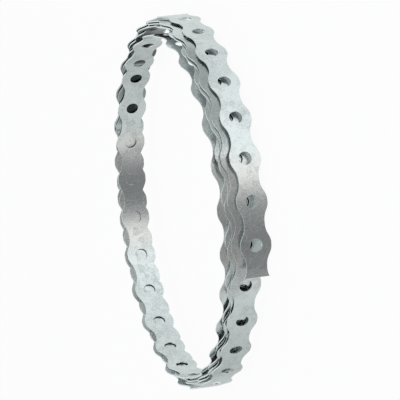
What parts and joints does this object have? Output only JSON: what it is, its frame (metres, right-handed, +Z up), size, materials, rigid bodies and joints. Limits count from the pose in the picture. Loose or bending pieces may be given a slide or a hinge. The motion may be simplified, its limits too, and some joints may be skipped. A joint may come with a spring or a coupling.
{
  "type": "perforated wavy-edged steel strap in a coil",
  "caption": "Coil of galvanised perforated steel strap with wavy edges, for bracing, hanging and tying down.",
  "frame": {"origin": "middle of the bounding box's underside, on the floor below the coil", "axes": "+Z up along the coil's axis, the coil lying flat, -Y towards the outer end of the strap, +X across the coil to the side that the strap's holes run to from that end"},
  "size_m": [0.2344, 0.2426, 0.0266],
  "materials": {
    "galvanised_steel": "hot-dip galvanised, satin with a faint spangle"
  },
  "bodies": {
    "root": {"strap": "galvanised_steel"}
  },
  "joints": []
}
